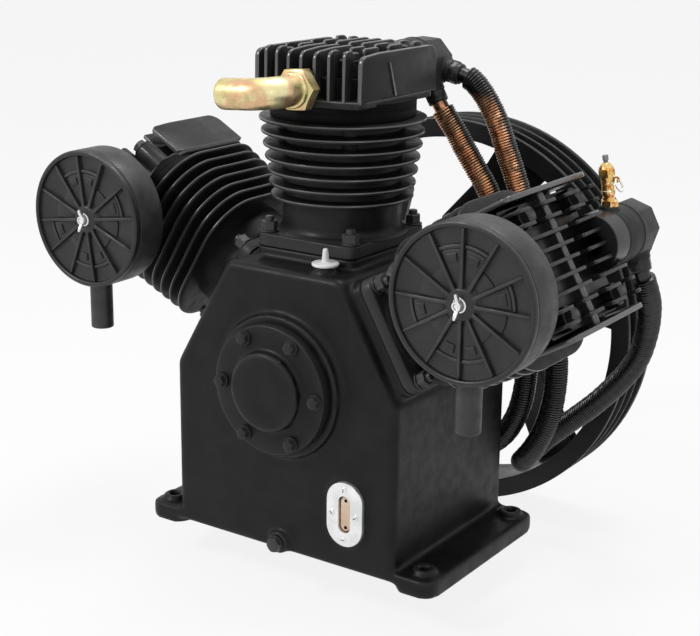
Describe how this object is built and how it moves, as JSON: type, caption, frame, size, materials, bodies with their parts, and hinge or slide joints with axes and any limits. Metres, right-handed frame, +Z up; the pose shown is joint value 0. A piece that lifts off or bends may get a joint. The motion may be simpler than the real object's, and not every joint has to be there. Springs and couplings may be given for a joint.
{
  "type": "air compressor pump head",
  "caption": "Belt-driven two-stage piston compressor pump with fanned finned cylinders, fan flywheel, intake filters, finned intercooler pipes and a cast crankcase on feet.",
  "frame": {"origin": "centre of the four foot holes, on the face that the feet stand on", "axes": "+Z up, +X across the front towards the right cylinder, +Y from the front cover to the flywheel"},
  "size_m": [0.6884, 0.5265, 0.6036],
  "materials": {
    "black_casting": "satin black paint on cast iron",
    "bare_iron": "machined",
    "steel": "machined",
    "alloy": "machined",
    "gasket": "compressed fibre",
    "seal": "matte",
    "filter_plastic": "moulded, satin",
    "filter_felt": "felt",
    "brass": "yellow passivated",
    "copper": "finned copper, partly painted black",
    "white_plastic": "smooth",
    "sight_window": "clear over a pale float chamber"
  },
  "bodies": {
    "pump_body": {"crankcase": "black_casting", "front_cover": "black_casting", "front_cover_gasket": "gasket", "front_cover_bolts": "black_casting", "rear_bearing_housing": "black_casting", "rear_housing_gasket": "gasket", "rear_housing_bolts": "black_casting", "oil_seal": "seal", "front_bearing": "steel", "rear_bearing": "steel", "cylinder_left": "black_casting", "cylinder_centre": "black_casting", "cylinder_right": "black_casting", "cylinder_base_gaskets": "gasket", "cylinder_nuts": "black_casting", "head_gaskets": "gasket", "valve_plates": "steel", "head_left": "black_casting", "head_centre": "black_casting", "head_right": "black_casting", "head_bolts": "black_casting", "manifold_left": "black_casting", "manifold_centre": "black_casting", "manifold_right": "black_casting", "intercooler_left": "copper", "intercooler_right": "copper", "filter_housings": "filter_plastic", "filter_elements": "filter_felt", "delivery_elbow": "brass", "relief_valve": "brass", "sight_glass_frame": "steel", "sight_glass_lens": "sight_window", "drain_plug": "black_casting"},
    "crank": {"crankshaft": "bare_iron", "bearing_inner_races": "steel", "flywheel": "black_casting", "flywheel_key": "steel", "flywheel_nut": "steel"},
    "piston_left": {"piston_left": "alloy", "piston_rings_left": "steel", "wrist_pin_left": "steel"},
    "rod_left": {"rod_left": "bare_iron", "crankpin_left": "steel"},
    "piston_centre": {"piston_centre": "alloy", "piston_rings_centre": "steel", "wrist_pin_centre": "steel"},
    "rod_centre": {"rod_centre": "bare_iron", "crankpin_centre": "steel"},
    "piston_right": {"piston_right": "alloy", "piston_rings_right": "steel", "wrist_pin_right": "steel"},
    "rod_right": {"rod_right": "bare_iron", "crankpin_right": "steel"},
    "filter_cover_left": {"filter_cover_left": "filter_plastic"},
    "wing_nut_left": {"wing_nut_left": "steel"},
    "filter_cover_right": {"filter_cover_right": "filter_plastic"},
    "wing_nut_right": {"wing_nut_right": "steel"},
    "relief_ring": {"relief_ring": "steel"},
    "oil_filler_cap": {"oil_filler_cap": "white_plastic"}
  },
  "joints": [
    {"name": "crank_turn", "type": "hinge", "parent": "pump_body", "child": "crank", "pos_m": [0, 0, 0.202], "axis": [0, 1, 0], "continuous": true},
    {"name": "piston_left_slide", "type": "slide", "parent": "pump_body", "child": "piston_left", "axis": [-0.866, 0, 0.5], "range_m": [-0.0044, 0.0756]},
    {"name": "rod_left_swing", "type": "hinge", "parent": "piston_left", "child": "rod_left", "pos_m": [-0.15017, 0.023, 0.2887], "axis": [0, 1, 0], "range_deg": [-16.52, 5.54]},
    {"name": "piston_centre_slide", "type": "slide", "parent": "pump_body", "child": "piston_centre", "axis": [0, 0, 1], "range_m": [-0.0044, 0.0756]},
    {"name": "rod_centre_swing", "type": "hinge", "parent": "piston_centre", "child": "rod_centre", "pos_m": [0, -0.004, 0.3754], "axis": [0, 1, 0], "range_deg": [-5.54, 16.52]},
    {"name": "piston_right_slide", "type": "slide", "parent": "pump_body", "child": "piston_right", "axis": [0.866, 0, 0.5], "range_m": [-0.03614, 0.04386]},
    {"name": "rod_right_swing", "type": "hinge", "parent": "piston_right", "child": "rod_right", "pos_m": [0.17765, -0.031, 0.30457], "axis": [0, 1, 0], "range_deg": [0, 22.07]},
    {"name": "filter_cover_left_pull", "type": "slide", "parent": "pump_body", "child": "filter_cover_left", "axis": [0, -1, 0], "range_m": [0, 0.06]},
    {"name": "wing_nut_left_turn", "type": "hinge", "parent": "filter_cover_left", "child": "wing_nut_left", "pos_m": [-0.26241, -0.1395, 0.3535], "axis": [0, 1, 0], "continuous": true},
    {"name": "filter_cover_right_pull", "type": "slide", "parent": "pump_body", "child": "filter_cover_right", "axis": [0, -1, 0], "range_m": [0, 0.06]},
    {"name": "wing_nut_right_turn", "type": "hinge", "parent": "filter_cover_right", "child": "wing_nut_right", "pos_m": [0.26241, -0.1935, 0.3535], "axis": [0, 1, 0], "continuous": true},
    {"name": "relief_ring_lift", "type": "hinge", "parent": "pump_body", "child": "relief_ring", "pos_m": [0.29738, 0.06, 0.43609], "axis": [0, 1, 0], "range_deg": [-110, 0]},
    {"name": "oil_filler_cap_lift", "type": "slide", "parent": "pump_body", "child": "oil_filler_cap", "axis": [0, 0, 1], "range_m": [0, 0.06]}
  ]
}
